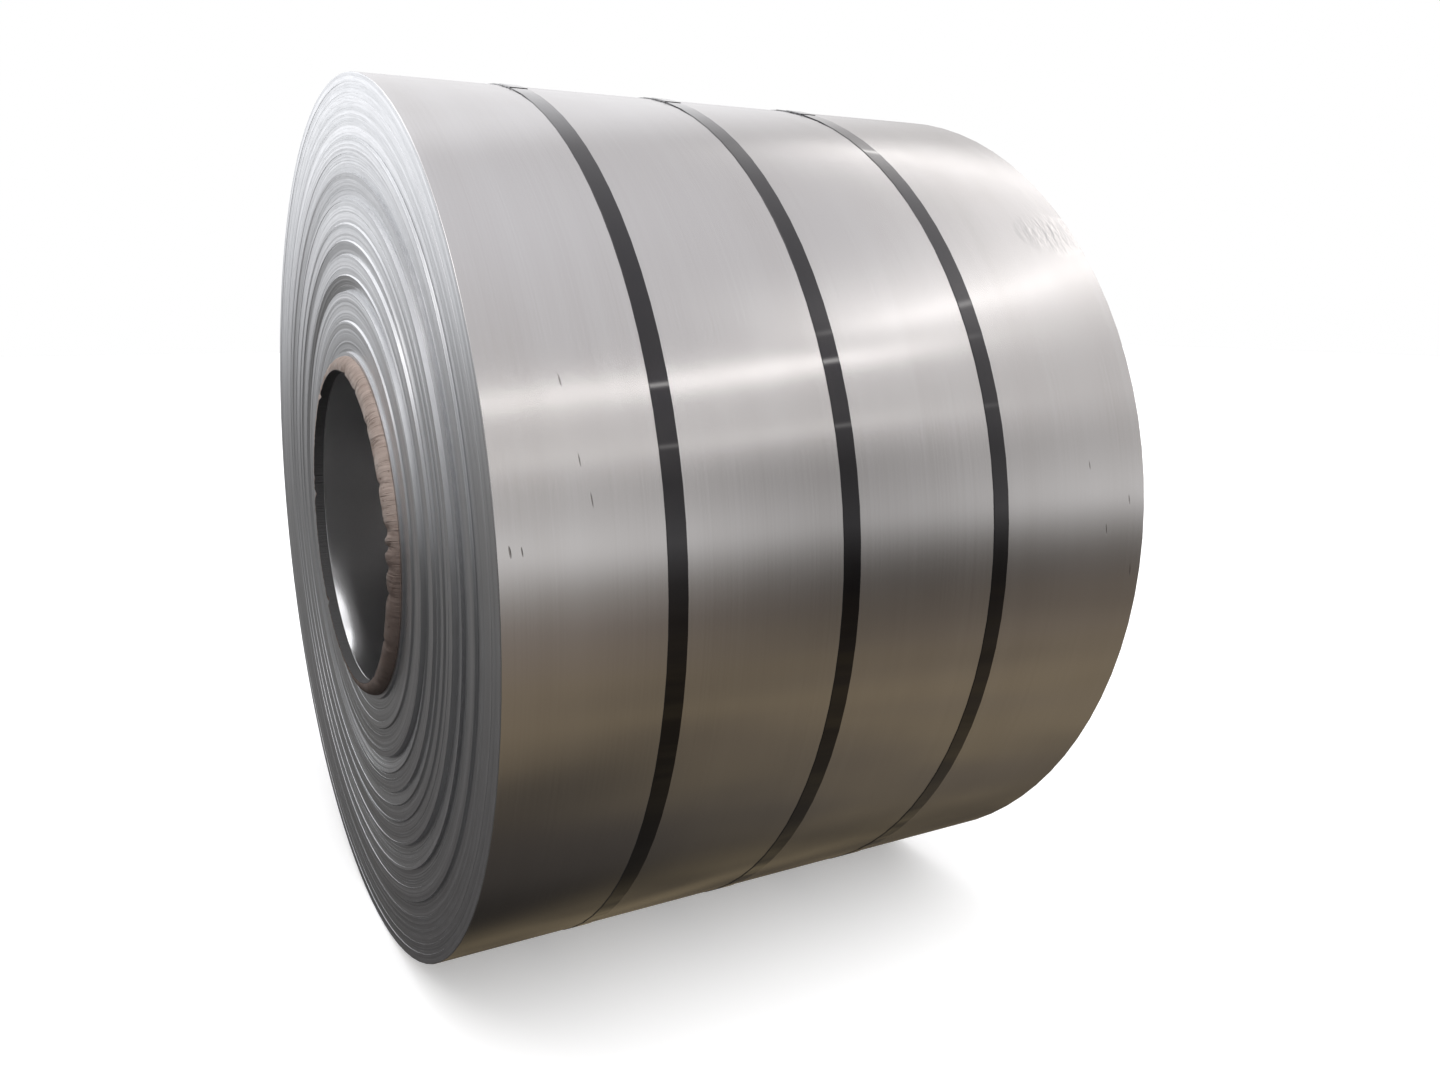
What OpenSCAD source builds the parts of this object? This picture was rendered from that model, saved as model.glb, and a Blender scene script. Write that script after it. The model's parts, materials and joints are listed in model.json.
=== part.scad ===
// Coil of bright steel strip, lying on its side and strapped for shipping.
// The coil's axis runs along X, and it stands on the undersides of its straps at Z = 0.
// Millimetres. The origin is under the middle of the coil, on the ground.

/* [Coil] */
// Outside diameter of the wound strip
coil_d = 1665; // [1000:5:2100]
// Width of the strip, which is the coil's length along its axis
coil_w = 1219; // [1050:1:2000]
// Diameter of the bore, to suit a 24 inch mandrel
bore_d = 610; // [508:1:650]

/* [Turns on the ends] */
// How far the turns stand out at the crest of the tallest group, above the group outside it
crest_h = 9; // [2:0.5:15]
// Flat land round each bore ring, outside the ring
land_margin = 7; // [3:0.5:12]

/* [Straps] */
// Width of the steel strap
strap_w = 32; // [19:0.5:40]
// Thickness of the steel strap
strap_t = 1; // [0.6:0.1:1.3]
// From the near end of the coil to the middle of the first strap
strap_first = 268; // [120:1:400]
// From the middle of one strap to the middle of the next
strap_pitch = 305; // [150:1:320]
// Length over which the two ends of a strap lie on each other
lap_l = 130; // [90:5:300]
// How far round the middle of the lap is, in degrees up from the level of the axis
lap_angle = 75; // [60:1:120]

/* [Strap seals] */
// Length of the clip that joins the lapped ends
seal_l = 57; // [40:1:80]
// Thickness of the clip's steel
seal_t = 1.2; // [0.8:0.1:2]
// Clearance between the clip and the strap, and under its sides
seal_gap = 0.1; // [0.05:0.05:0.3]

/* [Bore rings] */
// Width of the paper-board ring, across the end of the coil
ring_w = 27; // [15:1:40]
// How far the ring stands out from the end of the coil
ring_h = 20; // [10:1:30]
// Width of the ring's blunt crest
ring_crest = 3; // [2:0.5:6]
// Set-back of the ring from the edge of the bore
ring_gap = 1; // [0.5:0.5:5]

/* [Hidden] */
PLACES = ["near", "middle", "far"];
ENDS = ["near", "far"];

$fn = 128;

coil_r = coil_d / 2;
bore_r = bore_d / 2;
axis_z = coil_r + strap_t;
strap_r = coil_r + strap_t;
lap_r = strap_r + strap_t;
ring_r = bore_r + ring_gap;

// The flat land that each ring is seated on, inside the groups of turns.
land_r = ring_r + ring_w + land_margin;

// The strip wandered sideways as it was wound, a little further out with every turn, and then
// slipped back. Each group of turns starts with a slip and climbs back to a crest:
// [where it starts, as a share of the way from the land to the outside; its slip, as a share of crest_h].
GROUPS = [
    [0, 0.5], [0.12, 0.35], [0.23, 1], [0.29, 0.3], [0.37, 0.5],
    [0.42, 0.35], [0.48, 0.3], [0.57, 0.9], [0.66, 0.55], [0.78, 0.5]];

// Radius at the start of group i, which is the outside of the coil after the last one.
function group_r(i) = i < len(GROUPS) ? land_r + GROUPS[i][0] * (coil_r - land_r) : coil_r;

// Outline of the near end from the bore outwards, as [radius, set-back] points.
function end_outline() = concat(
    [[bore_r, 0], [land_r, 0]],
    [for (i = [0 : len(GROUPS) - 1])
        each [[group_r(i), GROUPS[i][1] * crest_h], [group_r(i + 1), 0]]]);

// Outline of the bore ring's section, as [radius, height] points: a straight inner wall,
// a blunt crest, and an outer side that curves down to the coil.
SIDE_STEPS = 8;
function ring_outline() = concat(
    [[ring_r, 0], [ring_r, ring_h], [ring_r + ring_crest, ring_h]],
    [for (i = [1 : SIDE_STEPS])
        let (a = 90 * i / SIDE_STEPS)
        [ring_r + ring_crest + (ring_w - ring_crest) * sin(a), ring_h * cos(a)]]);

// Middle of strap i, measured along X from the middle of the coil.
function strap_x(i) = strap_first + i * strap_pitch - coil_w / 2;

// Angle at the coil's axis under a length laid on the radius r.
function arc_angle(l, r) = l / r * 180 / PI;

// Puts what is drawn round Z onto the coil's axis, with its start x along that axis.
module on_axis(x) {
    translate([x, 0, axis_z]) rotate([90, 0, 90]) children();
}

// Turns round the axis so that what is drawn at the start angle lies at the middle of the lap.
module at_lap() {
    rotate([0, 0, 180 - lap_angle]) children();
}

// Turns a flat section through the angle that the length l takes at the radius r,
// to either side of the start angle.
module arc(l, r) {
    sweep = arc_angle(l, r);
    rotate([0, 0, -sweep / 2]) rotate_extrude(angle = sweep) children();
}

// Every turn is as wide as the strip, so the far end has the near end's outline, moved along.
module coil() {
    outline = end_outline();
    near_x = -coil_w / 2;
    far_x = near_x + coil_w;
    color("silver")
        on_axis(0)
            rotate_extrude()
                polygon(concat(
                    [for (p = outline) [p[0], near_x + p[1]]],
                    [for (i = [len(outline) - 1 : -1 : 0]) [outline[i][0], far_x + outline[i][1]]]));
}

// One band round the barrel, with its second end lapped over its first: two layers all round,
// with the outer one cut away from the end of the lap right round to its start.
module strap(x) {
    lap = arc_angle(lap_l, lap_r);
    color("dimgray")
        on_axis(x)
            at_lap()
                difference() {
                    rotate_extrude()
                        translate([coil_r, -strap_w / 2]) square([2 * strap_t, strap_w]);
                    rotate([0, 0, lap / 2])
                        rotate_extrude(angle = 360 - lap)
                            translate([strap_r, -strap_w]) square([2 * strap_t, 2 * strap_w]);
                }
}

// The clip: a channel bent down over both thicknesses of the strap.
module seal(x) {
    inside_w = strap_w + 2 * seal_gap;
    outside_w = inside_w + 2 * seal_t;
    foot_r = coil_r + seal_gap;
    roof_r = lap_r + seal_gap;
    color("slategray")
        on_axis(x)
            at_lap()
                arc(seal_l, roof_r)
                    difference() {
                        translate([foot_r, -outside_w / 2])
                            square([roof_r + seal_t - foot_r, outside_w]);
                        translate([foot_r - seal_t, -inside_w / 2])
                            square([roof_r - foot_r + seal_t, inside_w]);
                    }
}

// side is -1 for the near end and 1 for the far end.
module bore_ring(side) {
    color("tan")
        on_axis(side * coil_w / 2)
            rotate_extrude()
                polygon([for (p = ring_outline()) [p[0], side * p[1]]]);
}

coil();
for (i = [0 : len(PLACES) - 1]) {
    strap(strap_x(i));
    seal(strap_x(i));
}
for (i = [0 : len(ENDS) - 1])
    bore_ring(2 * i - 1);
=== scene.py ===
# %% [markdown]
# # A coil of bright steel strip
# A steel coil is one long strip wound on a mandrel, like a roll of ribbon that weighs seventeen
# tonnes. It lies on its side, held by three steel straps, with a paper-board ring round each
# edge of the bore. We load the engineering model first, because it fixes every size and place,
# and build the looks around it. Lengths are in metres.

# %% Load the frame
import json
import math
import random

import bmesh
import bpy
from mathutils import Vector, noise
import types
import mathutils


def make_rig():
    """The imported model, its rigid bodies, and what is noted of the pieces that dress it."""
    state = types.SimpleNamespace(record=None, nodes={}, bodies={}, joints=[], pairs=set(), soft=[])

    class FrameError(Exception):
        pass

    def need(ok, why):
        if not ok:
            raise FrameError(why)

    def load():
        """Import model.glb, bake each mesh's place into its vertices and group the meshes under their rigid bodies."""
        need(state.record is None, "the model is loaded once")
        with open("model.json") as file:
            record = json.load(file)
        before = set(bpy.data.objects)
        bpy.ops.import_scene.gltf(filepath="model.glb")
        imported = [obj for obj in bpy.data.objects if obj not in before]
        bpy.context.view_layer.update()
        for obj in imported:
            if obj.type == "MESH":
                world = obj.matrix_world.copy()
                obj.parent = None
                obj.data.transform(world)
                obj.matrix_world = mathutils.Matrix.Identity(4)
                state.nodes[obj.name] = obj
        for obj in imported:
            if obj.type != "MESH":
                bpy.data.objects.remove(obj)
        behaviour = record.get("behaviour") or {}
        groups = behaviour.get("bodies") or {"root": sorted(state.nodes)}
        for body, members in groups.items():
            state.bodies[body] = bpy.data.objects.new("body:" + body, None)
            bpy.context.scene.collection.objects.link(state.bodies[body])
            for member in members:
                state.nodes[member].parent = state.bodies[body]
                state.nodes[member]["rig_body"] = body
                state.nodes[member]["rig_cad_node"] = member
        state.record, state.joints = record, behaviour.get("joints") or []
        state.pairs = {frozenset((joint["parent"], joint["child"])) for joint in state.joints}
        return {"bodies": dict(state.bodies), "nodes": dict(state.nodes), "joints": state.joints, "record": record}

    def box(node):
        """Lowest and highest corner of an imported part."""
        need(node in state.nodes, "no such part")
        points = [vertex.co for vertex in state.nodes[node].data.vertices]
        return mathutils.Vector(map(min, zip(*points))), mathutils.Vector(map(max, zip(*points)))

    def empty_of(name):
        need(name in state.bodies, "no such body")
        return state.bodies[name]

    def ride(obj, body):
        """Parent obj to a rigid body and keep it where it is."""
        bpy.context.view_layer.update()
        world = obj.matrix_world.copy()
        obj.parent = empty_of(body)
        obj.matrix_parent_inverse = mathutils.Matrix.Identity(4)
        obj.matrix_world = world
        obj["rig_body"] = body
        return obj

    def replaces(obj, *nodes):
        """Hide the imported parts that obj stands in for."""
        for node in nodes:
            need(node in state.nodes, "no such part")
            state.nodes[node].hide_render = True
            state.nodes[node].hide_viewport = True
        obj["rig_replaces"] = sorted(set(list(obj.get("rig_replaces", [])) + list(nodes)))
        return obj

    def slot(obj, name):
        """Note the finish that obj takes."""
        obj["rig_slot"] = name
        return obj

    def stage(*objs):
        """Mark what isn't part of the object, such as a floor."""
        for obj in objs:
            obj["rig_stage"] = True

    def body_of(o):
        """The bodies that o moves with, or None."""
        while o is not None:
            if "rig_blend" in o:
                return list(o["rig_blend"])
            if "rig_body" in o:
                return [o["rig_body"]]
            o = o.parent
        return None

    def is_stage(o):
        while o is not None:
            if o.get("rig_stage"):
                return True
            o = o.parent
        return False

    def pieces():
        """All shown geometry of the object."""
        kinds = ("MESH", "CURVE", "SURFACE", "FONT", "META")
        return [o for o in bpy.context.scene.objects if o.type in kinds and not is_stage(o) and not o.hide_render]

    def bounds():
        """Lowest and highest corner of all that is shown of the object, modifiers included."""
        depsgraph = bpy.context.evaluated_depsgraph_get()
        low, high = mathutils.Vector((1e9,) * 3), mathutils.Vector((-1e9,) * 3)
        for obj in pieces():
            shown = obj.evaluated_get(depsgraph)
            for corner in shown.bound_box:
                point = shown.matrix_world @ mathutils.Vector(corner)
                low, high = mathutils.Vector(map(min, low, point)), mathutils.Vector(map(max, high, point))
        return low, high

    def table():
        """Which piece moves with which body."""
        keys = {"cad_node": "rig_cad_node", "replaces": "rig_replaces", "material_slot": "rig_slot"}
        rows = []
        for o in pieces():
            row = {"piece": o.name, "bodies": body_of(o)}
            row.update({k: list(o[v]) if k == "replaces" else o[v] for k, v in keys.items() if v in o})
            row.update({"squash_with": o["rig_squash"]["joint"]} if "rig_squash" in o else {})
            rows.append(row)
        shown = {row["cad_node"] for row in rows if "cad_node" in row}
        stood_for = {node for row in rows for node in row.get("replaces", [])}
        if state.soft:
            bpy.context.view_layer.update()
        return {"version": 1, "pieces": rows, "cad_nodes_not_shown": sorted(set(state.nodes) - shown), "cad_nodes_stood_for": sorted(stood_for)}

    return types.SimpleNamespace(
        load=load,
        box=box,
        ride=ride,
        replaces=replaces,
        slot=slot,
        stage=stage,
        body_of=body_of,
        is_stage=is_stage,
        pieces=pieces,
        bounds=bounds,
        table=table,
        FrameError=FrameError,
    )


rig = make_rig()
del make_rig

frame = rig.load()
cad_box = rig.bounds()
print("frame holds", len(frame["nodes"]), "nodes, between", cad_box[0][:], "and", cad_box[1][:])

# %% [markdown]
# ## The camera
# It stands close to the near end at chest height and looks a little down across the coil, so
# that both the wound end and the barrel show. A wide lens that near makes the close end large.
# A small sideways shift frames the coil without turning the view.

# %% Place the camera
CAMERA_PLACE = (-1.080, -2.164, 1.258)
CAMERA_TILT = math.radians(78.04)
CAMERA_TURN = math.radians(-26.61)
CAMERA_LENS = 27.71
CAMERA_SHIFT = (0.0597, 0.0012)
bpy.ops.object.camera_add(location=CAMERA_PLACE, rotation=(CAMERA_TILT, 0, CAMERA_TURN))
camera = bpy.context.object
camera.data.lens = CAMERA_LENS
camera.data.shift_x, camera.data.shift_y = CAMERA_SHIFT
bpy.context.scene.camera = camera
print("camera at", CAMERA_PLACE, "with a lens of", CAMERA_LENS, "mm")

# %% [markdown]
# ## Measuring the frame
# Everything here is turned about one line, the coil's axis. So we need its height, the radii
# of the barrel and the bore, and the stepped outline of the near end: as the strip was wound it
# wandered sideways and slipped back, and each slip left a step. Those steps are read from the
# frame's own corners, as pairs of radius and place along the axis.

# %% Measure the coil
coil_low, coil_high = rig.box("coil")
AXIS_Z = (coil_low.z + coil_high.z) / 2
COIL_R = (coil_high.z - coil_low.z) / 2
CENTRE = (0, 0, AXIS_Z)
NEAR_END = coil_low.x


def radius_of(place):
    return math.hypot(place[1], place[2] - AXIS_Z)


def near_outline():
    """The near end's corners, from the bore outwards."""
    corners = set()
    for vertex in frame["nodes"]["coil"].data.vertices:
        if vertex.co.x < NEAR_END / 2:
            corners.add((round(radius_of(vertex.co), 4), round(vertex.co.x, 5)))
    return sorted(corners)


outline = near_outline()
BORE_R = outline[0][0]
STRIP_WIDTH = coil_high.x - max(x for r, x in outline)
print("axis at", round(AXIS_Z, 4), "barrel", round(COIL_R, 4), "bore", BORE_R)
print("strip is", round(STRIP_WIDTH, 4), "wide; the outline has", len(outline), "corners")

# %% [markdown]
# ## Working as by hand
# An operator acts on whatever is selected, so each step begins by selecting nothing. `clear`
# does that. `draw_line` starts from a small plane, merges it to a single corner, and pulls that
# corner along from point to point, which is how a profile for a turned shape is drawn by hand.
# `picked` notes which corners are selected, and `pick` selects them again by where they lie.

# %% Hand tools
def clear():
    if bpy.context.object and bpy.context.object.mode == "EDIT":
        bpy.ops.object.mode_set(mode="OBJECT")
    bpy.ops.object.select_all(action="DESELECT")


def select_only(piece):
    clear()
    piece.select_set(True)
    bpy.context.view_layer.objects.active = piece


def edit_all(piece):
    """Opens one piece in edit mode, with all of it selected."""
    select_only(piece)
    bpy.ops.object.mode_set(mode="EDIT")
    bpy.ops.mesh.select_all(action="SELECT")


def copy_of(piece, name):
    """A second piece with a mesh of its own."""
    select_only(piece)
    bpy.ops.object.duplicate()
    made = bpy.context.object
    made.name = name
    made.data.name = name
    return made


def draw_line(name, points):
    clear()
    bpy.ops.mesh.primitive_plane_add(size=0.001, location=points[0])
    piece = bpy.context.object
    piece.name = name
    piece.data.name = name
    bpy.ops.object.transform_apply(location=True, rotation=False, scale=False)
    bpy.ops.object.mode_set(mode="EDIT")
    bpy.ops.mesh.select_all(action="SELECT")
    bpy.ops.mesh.merge(type="CENTER")
    for start, end in zip(points, points[1:]):
        step = [e - s for s, e in zip(start, end)]
        bpy.ops.mesh.extrude_region_move(TRANSFORM_OT_translate={"value": step})
    bpy.ops.mesh.select_all(action="SELECT")
    return piece


def picked(piece):
    """The numbers of the corners now selected in edit mode."""
    mesh = bmesh.from_edit_mesh(piece.data)
    mesh.verts.index_update()
    return [corner.index for corner in mesh.verts if corner.select]


def pick(piece, numbers, test):
    """Of these corners, leaves only those that pass the test selected."""
    mesh = bmesh.from_edit_mesh(piece.data)
    mesh.verts.ensure_lookup_table()
    bpy.ops.mesh.select_all(action="DESELECT")
    for number in numbers:
        corner = mesh.verts[number]
        corner.select_set(test(corner.co))
    mesh.select_flush(True)
    bmesh.update_edit_mesh(piece.data)

clear()
print("pieces selected to begin with:", len(bpy.context.selected_objects))

# %% [markdown]
# ## Turning and winding
# A lathe shape comes from spinning its profile a whole turn. A wound shape is different: each
# wrap ends one thickness further in than it began. We spin it one small step at a time, and
# after each step nudge the new profile towards the axis. Angles are counted upwards from the
# level of the axis on the front of the barrel. The strip's tail, its outer end, is tucked at
# the lower back, where a mill leaves it so that it can't spring open. Its head, the inner end,
# lies forty columns further round, in the bore.

# %% Turning and winding tools
COLUMNS = 96
STEP = math.tau / COLUMNS
TAIL_ANGLE = math.radians(-130)
HEAD_COLUMN = 40
HEAD_ANGLE = TAIL_ANGLE + HEAD_COLUMN * STEP


def outward(angle):
    """The direction straight out from the axis at this angle."""
    return Vector((0, -math.cos(angle), math.sin(angle)))


def at(radius, angle, x):
    return Vector((x, 0, AXIS_Z)) + outward(angle) * radius


def spin(angle, steps):
    bpy.ops.mesh.spin(
        steps=steps, angle=angle, center=CENTRE, axis=(1, 0, 0), use_auto_merge=False)


def wind(piece, angles, radius_at, moves=lambda place: True):
    """Spins the selected profile through these angles, keeping it at radius_at(angle)."""
    for start, end in zip(angles, angles[1:]):
        spin(end - start, 1)
        column = picked(piece)
        pick(piece, column, moves)
        bpy.ops.transform.translate(value=outward(end) * (radius_at(end) - radius_at(start)))
        pick(piece, column, lambda place: True)

print("a column every", math.degrees(STEP), "degrees; the tail is at", math.degrees(TAIL_ANGLE))

# %% [markdown]
# ## The turns on the ends
# The sheet is 2.5 mm thick, so the end shows about two hundred turns. Each is drawn as a short
# edge with a narrow gap beside it, which gives the fine lines that catch the light. The edges
# lean with the measured outline, so that it keeps its broad steps and few walls show between
# one turn and the next. Small bundles of turns also sit a little high or low, from seeded random
# numbers, so that the lines group the way real ones do. Inside the land, under the board ring,
# the turns lie level.

# %% Draw the line of turns
SHEET = 0.0025
GAP = 0.0002
WRAP_ROOM = 1.04 * SHEET
LAND_R = outline[1][0]
FIRST_TURN = BORE_R + WRAP_ROOM
LAST_TURN = COIL_R - WRAP_ROOM
BUNDLE_TURNS = (3, 9)
BUNDLE_SINK = 0.0007
LAND_SINK = 0.0001
TURN_SINK = 0.00012
draws = random.Random(11)


def outline_x(radius):
    """How far along the axis the measured outline is at this radius."""
    for inner, outer in zip(outline, outline[1:]):
        if inner[0] <= radius < outer[0]:
            break
    share = (radius - inner[0]) / (outer[0] - inner[0])
    return inner[1] + share * (outer[1] - inner[1])


def turn_profile():
    turns = round((LAST_TURN - FIRST_TURN) / SHEET)
    pitch = (LAST_TURN - FIRST_TURN) / turns
    points = [at(FIRST_TURN, TAIL_ANGLE, outline_x(FIRST_TURN))]
    bundle, left = 0, 0
    for i in range(turns):
        if left == 0:
            bundle, left = draws.uniform(0, BUNDLE_SINK), draws.randint(*BUNDLE_TURNS)
        left -= 1
        r = FIRST_TURN + i * pitch
        sunk = (bundle if r > LAND_R else LAND_SINK) + draws.uniform(0, TURN_SINK)
        points.append(at(r + GAP, TAIL_ANGLE, outline_x(r + GAP) + sunk))
        points.append(at(r + pitch, TAIL_ANGLE, outline_x(r + pitch - GAP) + sunk))
    points[-1] = at(LAST_TURN, TAIL_ANGLE, outline_x(LAST_TURN))
    return points, turns


profile, turn_count = turn_profile()
print(turn_count, "turns, drawn as a line of", len(profile), "points")

# %% [markdown]
# Spinning that line a whole turn makes the near end. Every turn is as wide as the strip, so the
# far end is the same shape slid along by that width, and a copy saves drawing it again.

# %% Turn both ends
near_turns = draw_line("near_turns", profile)
spin(math.tau, COLUMNS)
far_turns = copy_of(near_turns, "far_turns")
edit_all(far_turns)
bpy.ops.transform.translate(value=(STRIP_WIDTH, 0, 0))
clear()
print("each end has", len(near_turns.data.vertices), "corners")

# %% [markdown]
# ## The outermost and innermost wraps
# These two carry the barrel and the bore. The outer one steps in by one thickness on its way
# round, which leaves the straight edge of the tail across the barrel. The inner one does the
# same in the bore. Slit edges are never quite sharp, so both rims get a small two-step bevel,
# and it is that bevel that draws the thin bright line round the end. One more ring of corners
# just inside each rim keeps the smooth shading of the bevel from leaning into the wide skin.

# %% Wind the two wraps
RIM = 0.0012
SHOULDER = RIM * 0.35
SKIN_START = 4 * RIM
ON_JOINT = SHEET / 50


def wrap_profile(skin_r, joint_r, start, near_x):
    """From the near joint, over the skin, to the far joint."""
    inward = 1 if joint_r > skin_r else -1
    half = [
        (joint_r, near_x),
        (skin_r + inward * RIM, near_x),
        (skin_r + inward * SHOULDER, near_x + SHOULDER),
        (skin_r, near_x + RIM),
        (skin_r, near_x + SKIN_START),
    ]
    far = [(r, 2 * near_x + STRIP_WIDTH - x) for r, x in reversed(half)]
    return [at(r, start, x) for r, x in half + far]


def wind_wrap(name, skin_r, joint_r, start):
    thinner = SHEET if joint_r > skin_r else -SHEET
    piece = draw_line(name, wrap_profile(skin_r, joint_r, start, outline_x(joint_r)))
    wind(
        piece,
        [start + STEP * i for i in range(COLUMNS + 1)],
        lambda angle: thinner * (angle - start) / math.tau,
        lambda place: abs(radius_of(place) - joint_r) > ON_JOINT)
    clear()
    return piece


outer_wrap = wind_wrap("outer_wrap", COIL_R, LAST_TURN, TAIL_ANGLE)
inner_wrap = wind_wrap("inner_wrap", BORE_R, FIRST_TURN, HEAD_ANGLE)
print("outer wrap has", len(outer_wrap.data.polygons), "faces")

# %% [markdown]
# ## One closed coil
# The four parts share their edge circles, so joining them and merging the doubles sews them
# together. What stays open is the little face of the tail, and of the strip's head in the bore:
# each is one flat ribbon, which a fill closes. Only then are the normals worked out, because
# a closed shell has a true outside. Edges sharper than the given angle are shaded sharp.

# %% Join and close the coil
SAME_PLACE = 0.00001


def open_corners(piece):
    """How many corners lie on an edge that the shell leaves open."""
    bpy.ops.mesh.select_all(action="DESELECT")
    bpy.ops.mesh.select_non_manifold()
    return len(picked(piece))


def close_shell(piece, smooth_below):
    edit_all(piece)
    bpy.ops.mesh.remove_doubles(threshold=SAME_PLACE)
    before = open_corners(piece)
    if before:
        bpy.ops.mesh.fill_holes(sides=0)
    bpy.ops.mesh.select_all(action="SELECT")
    bpy.ops.mesh.normals_make_consistent(inside=False)
    after = open_corners(piece)
    bpy.ops.mesh.select_all(action="DESELECT")
    select_only(piece)
    bpy.ops.object.shade_smooth_by_angle(angle=math.radians(smooth_below))
    print(piece.name, "had", before, "open corners, and has", after)


select_only(near_turns)
for part in (far_turns, outer_wrap, inner_wrap):
    part.select_set(True)
bpy.ops.object.join()
coil = bpy.context.object
coil.name = "wound_coil"
close_shell(coil, smooth_below=12)
print("coil has", sum(len(face.vertices) - 2 for face in coil.data.polygons), "triangles")

# %% [markdown]
# ## The straps
# A strap is one flat band, pulled tight, with its second end lapped over its first. It follows
# the barrel's own radius, tents over the edge of the tail, and at the lap climbs one thickness
# to lie on itself. The frame gives its width and its place along the coil.

# %% Measure the straps
STRAPS = ("strap_near", "strap_middle", "strap_far")
STRAP_PIECES = ("steel_strap_near", "steel_strap_middle", "steel_strap_far")
strap_boxes = [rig.box(name) for name in STRAPS]
STRAP_PLACES = [(low.x + high.x) / 2 for low, high in strap_boxes]
STRAP_WIDTH = strap_boxes[0][1].x - strap_boxes[0][0].x
STRAP_THICK = 0.0009
STRAP_SEAT = 0.00005
LAP_LENGTH = 0.130
LAP_MIDDLE = math.radians(75)
LAP_HALF = LAP_LENGTH / 2 / COIL_R
CLIMB = math.radians(4)


def barrel_r(angle):
    """The barrel's radius, which falls by one sheet on the way round from the tail."""
    turned = (angle - TAIL_ANGLE) % math.tau
    return COIL_R - SHEET * turned / math.tau


def tent(angle):
    """How far the strap stands off the barrel just before the tail's edge."""
    before = (TAIL_ANGLE - angle) % math.tau
    return SHEET * max(0, 1 - before / CLIMB)


def strap_inside(angle):
    lap_start = LAP_MIDDLE - LAP_HALF
    whole_turn = lap_start + math.tau
    climbed = min(1, max(0, (angle - whole_turn + CLIMB) / CLIMB))
    return barrel_r(angle) + tent(angle) + STRAP_SEAT + climbed * (STRAP_THICK + STRAP_SEAT)


print("strap is", round(STRAP_WIDTH, 4), "wide, at", [round(x, 3) for x in STRAP_PLACES])

# %% [markdown]
# One section is wound for a whole turn and a bit more. It turns in the same steps as the coil,
# so that the flat lengths of the one lie on the flat lengths of the other, and nothing cuts in.

# %% Wind a strap
END_ROOM = 0.005
STRAP_CORNER = STRAP_THICK * 0.3


def strap_angles():
    """The coil's own columns, with the two ends of the lap between them."""
    start = LAP_MIDDLE - LAP_HALF
    end = LAP_MIDDLE + LAP_HALF + math.tau
    first = math.ceil((start - TAIL_ANGLE) / STEP)
    last = math.floor((end - TAIL_ANGLE) / STEP)
    columns = [TAIL_ANGLE + STEP * i for i in range(first, last + 1)]
    return [start] + [a for a in columns if start + END_ROOM < a < end - END_ROOM] + [end]


def strap_section(angle):
    low = strap_inside(angle)
    high = low + STRAP_THICK
    half = STRAP_WIDTH / 2
    cut = STRAP_CORNER
    points = [
        (low, -half + cut), (low, half - cut), (low + cut, half), (high - cut, half),
        (high, half - cut), (high, -half + cut), (high - cut, -half), (low + cut, -half)]
    return [at(r, angle, x) for r, x in points + points[:1]]


angles = strap_angles()
band = draw_line(STRAP_PIECES[0], strap_section(angles[0]))
bpy.ops.mesh.remove_doubles(threshold=SAME_PLACE)
wind(band, angles, strap_inside)
close_shell(band, smooth_below=30)

# %% [markdown]
# The three straps are alike, so the finished band is copied for the other two places. Each copy
# has its own mesh, and the sliding is done in edit mode, so that every object stays at the origin.

# %% Copy the strap
def copies_along(first, names):
    """Copies the piece drawn at x = 0, and slides the first and each copy to its strap's place."""
    made = [first] + [copy_of(first, name) for name in names[1:]]
    for piece, place in zip(made, STRAP_PLACES):
        edit_all(piece)
        bpy.ops.transform.translate(value=(place, 0, 0))
    clear()
    return made


straps = copies_along(band, STRAP_PIECES)
print("straps:", [strap.name for strap in straps])

# %% [markdown]
# ## The seals
# The lapped ends are joined by a seal, a short steel clip folded down over both edges. It is
# drawn as one open line, from one foot up over the strap to the other, and spun over its short
# length.

# %% Fold a seal
SEALS = ("seal_near", "seal_middle", "seal_far")
SEAL_PIECES = ("seal_clip_near", "seal_clip_middle", "seal_clip_far")
seal_low, seal_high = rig.box("seal_near")
SEAL_LENGTH = 0.057
SEAL_HALF = SEAL_LENGTH / 2 / COIL_R
SEAL_THICK = 0.0009
SEAL_HALF_WIDTH = (seal_high.x - seal_low.x) / 2 - SEAL_THICK
SEAL_STEPS = 24
FOOT_LIFT = 0.0004
FOOT_TALL = 0.0008
FOLD = 0.0008
TWO_STRAPS = 2.35 * STRAP_THICK
ROOF_ROOM = 0.0002
seal_foot = barrel_r(LAP_MIDDLE) + FOOT_LIFT
seal_roof = barrel_r(LAP_MIDDLE) + TWO_STRAPS + ROOF_ROOM


def seal_section():
    side = -SEAL_HALF_WIDTH
    half = [
        (seal_foot, side), (seal_foot + FOOT_TALL, side), (seal_roof - FOLD, side),
        (seal_roof - FOLD * 0.3, side + FOLD * 0.3), (seal_roof, side + FOLD),
        (seal_roof, side * 0.6)]
    other = [(r, -x) for r, x in reversed(half)]
    return [at(r, LAP_MIDDLE - SEAL_HALF, x) for r, x in half + other]


seal = draw_line(SEAL_PIECES[0], seal_section())
spin(2 * SEAL_HALF, SEAL_STEPS)
seal_corners = range(len(bmesh.from_edit_mesh(seal.data).verts))
print("folded seal has", len(seal_corners), "corners")

# %% [markdown]
# The sealing tool bites two notches into each side, and the bitten metal flares out into small
# tabs. So the corners of the feet are picked where the tool bit, and pulled outwards.

# %% Crimp the seal
BITES = (-0.42, 0.42)
BITE_HALF = 0.13
FLARE = 0.0007
AT_SIDE = SEAL_HALF_WIDTH * 0.99
FOOT_TOP = seal_foot + 0.001


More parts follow.
